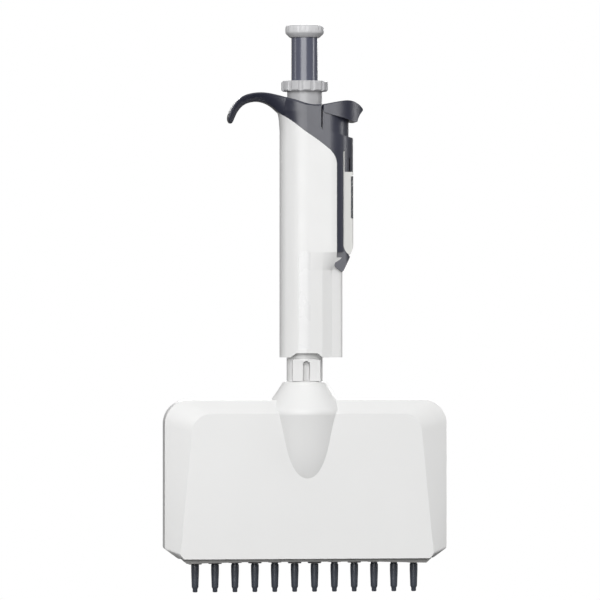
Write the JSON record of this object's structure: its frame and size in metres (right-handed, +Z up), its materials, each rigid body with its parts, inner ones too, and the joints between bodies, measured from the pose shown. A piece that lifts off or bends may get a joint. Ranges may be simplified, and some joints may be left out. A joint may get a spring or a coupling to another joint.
{
  "type": "multichannel pipette",
  "caption": "Hand-held air-displacement pipette with a wide swivelling head and a row of nozzles, push-button plunger, volume ring with drum counter, tip ejector and finger hook.",
  "frame": {"origin": "on the handle's main axis, in the plane of the nozzle ends, half way along the nozzle row", "axes": "+Z up the handle to the push button, X along the nozzle row with the finger hook at -X and the volume window and ejector at +X, Y through the thickness of the head"},
  "size_m": [0.1272, 0.0362, 0.256],
  "materials": {
    "white_plastic": "fine satin ABS",
    "dark_plastic": "satin blue-grey ABS",
    "nozzle_plastic": "polished blue-black polymer",
    "bar_plastic": "warm grey satin polymer",
    "ring_plastic": "light grey satin polymer",
    "plunger_plastic": "glossy blue-grey polymer",
    "window_glass": "smoked clear polymer",
    "label": "printed film",
    "drum_plastic": "black moulded",
    "steel": "turned and ground",
    "spring_steel": "drawn wire",
    "chassis_plastic": "moulded glass-filled polymer",
    "brass": "turned",
    "aluminium": "milled and anodised",
    "seal_rubber": "moulded seal"
  },
  "bodies": {
    "handle": {"handle_shell": "white_plastic", "label_strip": "label", "upper_housing": "dark_plastic", "window_insert": "white_plastic", "window_lens": "window_glass", "chassis": "chassis_plastic", "guide_bush": "chassis_plastic", "swivel_bush": "white_plastic", "spring_seat": "chassis_plastic", "blowout_spring": "spring_steel", "plunger_spring": "spring_steel", "ejector_spring": "spring_steel"},
    "volume_dial": {"volume_ring": "ring_plastic", "volume_screw": "brass"},
    "stop_nut": {"stop_nut": "chassis_plastic"},
    "tenths_counter": {"counter_gear": "chassis_plastic", "counter_shaft": "steel", "tenths_drum": "drum_plastic"},
    "units_counter": {"units_drum": "drum_plastic"},
    "tens_counter": {"tens_drum": "drum_plastic"},
    "plunger": {"push_button": "ring_plastic", "plunger_sleeve": "plunger_plastic", "plunger_rod": "steel", "rod_clip": "spring_steel"},
    "ejector": {"ejector_button": "dark_plastic", "ejector_stem": "dark_plastic", "ejector_yoke": "chassis_plastic"},
    "head": {"head_front_cover": "white_plastic", "head_back_cover": "white_plastic", "head_screws": "steel", "nozzle_plate": "aluminium", "clamp_plate": "aluminium", "plate_spacers": "aluminium", "nozzles": "nozzle_plastic", "piston_seals": "seal_rubber", "seal_caps": "chassis_plastic", "guide_rods": "steel", "neck_tube": "white_plastic", "neck_clip": "spring_steel", "piston_springs": "spring_steel"},
    "piston_set": {"piston_bar": "aluminium", "pistons": "steel", "thrust_rod": "steel"},
    "ejector_set": {"ejector_sleeve": "white_plastic", "ejector_crosshead": "aluminium", "ejector_legs": "steel", "ejector_bar": "bar_plastic"}
  },
  "joints": [
    {"name": "volume_turn", "type": "hinge", "parent": "handle", "child": "volume_dial", "pos_m": [0, 0, 0.2278], "axis": [0, 0, 1], "range_deg": [-3420, 0]},
    {"name": "stop_nut_travel", "type": "slide", "parent": "handle", "child": "stop_nut", "axis": [0, 0, 1], "range_m": [-0.0114, 0]},
    {"name": "tenths_turn", "type": "hinge", "parent": "handle", "child": "tenths_counter", "pos_m": [0.0128, 0, 0.1716], "axis": [0, 0, 1], "range_deg": [0, 3420]},
    {"name": "units_turn", "type": "hinge", "parent": "handle", "child": "units_counter", "pos_m": [0.0128, 0, 0.1776], "axis": [0, 0, 1], "range_deg": [0, 342]},
    {"name": "tens_turn", "type": "hinge", "parent": "handle", "child": "tens_counter", "pos_m": [0.0128, 0, 0.1836], "axis": [0, 0, 1], "range_deg": [0, 34.2]},
    {"name": "plunger_press", "type": "slide", "parent": "handle", "child": "plunger", "axis": [0, 0, -1], "range_m": [0, 0.015], "stiffness_N_per_m": 450, "springref_m": -0.006, "deforming": ["plunger_spring"]},
    {"name": "ejector_press", "type": "slide", "parent": "handle", "child": "ejector", "axis": [0, 0, -1], "range_m": [0, 0.007], "stiffness_N_per_m": 500, "springref_m": -0.004, "deforming": ["ejector_spring"]},
    {"name": "head_swivel", "type": "hinge", "parent": "handle", "child": "head", "pos_m": [0, 0, 0.1085], "axis": [0, 0, 1], "continuous": true},
    {"name": "piston_travel", "type": "slide", "parent": "head", "child": "piston_set", "axis": [0, 0, -1], "range_m": [0, 0.015], "deforming": ["piston_springs"]},
    {"name": "tip_strip", "type": "slide", "parent": "head", "child": "ejector_set", "axis": [0, 0, -1], "range_m": [0, 0.007]}
  ],
  "couplings": [
    {"joint": "stop_nut_travel", "follows": "volume_turn", "m_per_rad": 0.00019099},
    {"joint": "tenths_turn", "follows": "volume_turn", "ratio": -1},
    {"joint": "units_turn", "follows": "volume_turn", "ratio": -0.1},
    {"joint": "tens_turn", "follows": "volume_turn", "ratio": -0.01},
    {"joint": "piston_travel", "follows": "plunger_press", "ratio": 1},
    {"joint": "tip_strip", "follows": "ejector_press", "ratio": 1}
  ]
}
